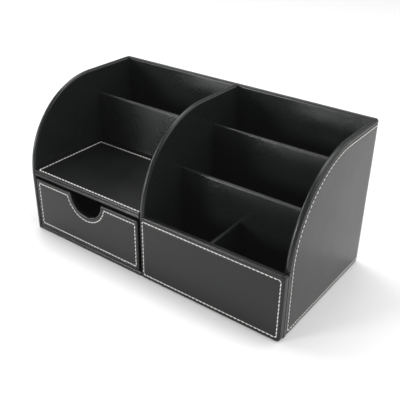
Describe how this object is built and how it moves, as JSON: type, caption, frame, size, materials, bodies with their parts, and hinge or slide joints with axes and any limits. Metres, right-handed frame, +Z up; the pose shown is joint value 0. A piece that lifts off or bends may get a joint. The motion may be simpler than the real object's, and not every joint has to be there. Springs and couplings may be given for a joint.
{
  "type": "desk organizer with drawer",
  "caption": "Black leather-covered desk organizer: stepped pen pockets beside an open tray over a pull-out drawer, with rounded side walls and white stitching.",
  "frame": {"origin": "centre of the footprint, on the surface that the organizer stands on", "axes": "+X along the width to the right seen from the front, +Y from the front to the back, +Z up"},
  "size_m": [0.255, 0.1298, 0.13],
  "materials": {
    "outer_leather": "black grained leather cloth, satin",
    "panel_leather": "black grained leather cloth, satin",
    "lining_leather": "black smooth leather cloth, matt",
    "thread": "white polyester thread",
    "fibreboard": "brown fibreboard, hidden by the leather cloth",
    "drawer_card": "board covered in black paper",
    "drawer_flock": "black flocked lining",
    "felt": "black felt"
  },
  "bodies": {
    "carcass": {"back_board": "fibreboard", "back_lining": "lining_leather", "base_board": "fibreboard", "base_felt": "felt", "divider_board": "fibreboard", "divider_wrap": "lining_leather", "floor_cover": "lining_leather", "front_panel_board": "fibreboard", "front_panel_cover": "panel_leather", "front_panel_thread": "thread", "left_partition_board": "fibreboard", "left_partition_wrap": "lining_leather", "left_wall_board": "fibreboard", "left_wall_lining": "lining_leather", "middle_partition_board": "fibreboard", "middle_partition_wrap": "lining_leather", "outer_cover": "outer_leather", "outer_cover_thread": "thread", "pocket_divider_board": "fibreboard", "pocket_divider_wrap": "lining_leather", "rear_partition_board": "fibreboard", "rear_partition_wrap": "lining_leather", "right_wall_board": "fibreboard", "right_wall_lining": "lining_leather", "shelf_board": "fibreboard", "shelf_cover": "panel_leather", "shelf_thread": "thread"},
    "drawer": {"drawer_back": "drawer_card", "drawer_floor": "drawer_card", "drawer_front_board": "fibreboard", "drawer_front_cover": "panel_leather", "drawer_front_thread": "thread", "drawer_left_side": "drawer_card", "drawer_lining": "drawer_flock", "drawer_right_side": "drawer_card"}
  },
  "joints": [
    {"name": "drawer_slide", "type": "slide", "parent": "carcass", "child": "drawer", "axis": [0, -1, 0], "range_m": [0, 0.07]}
  ]
}
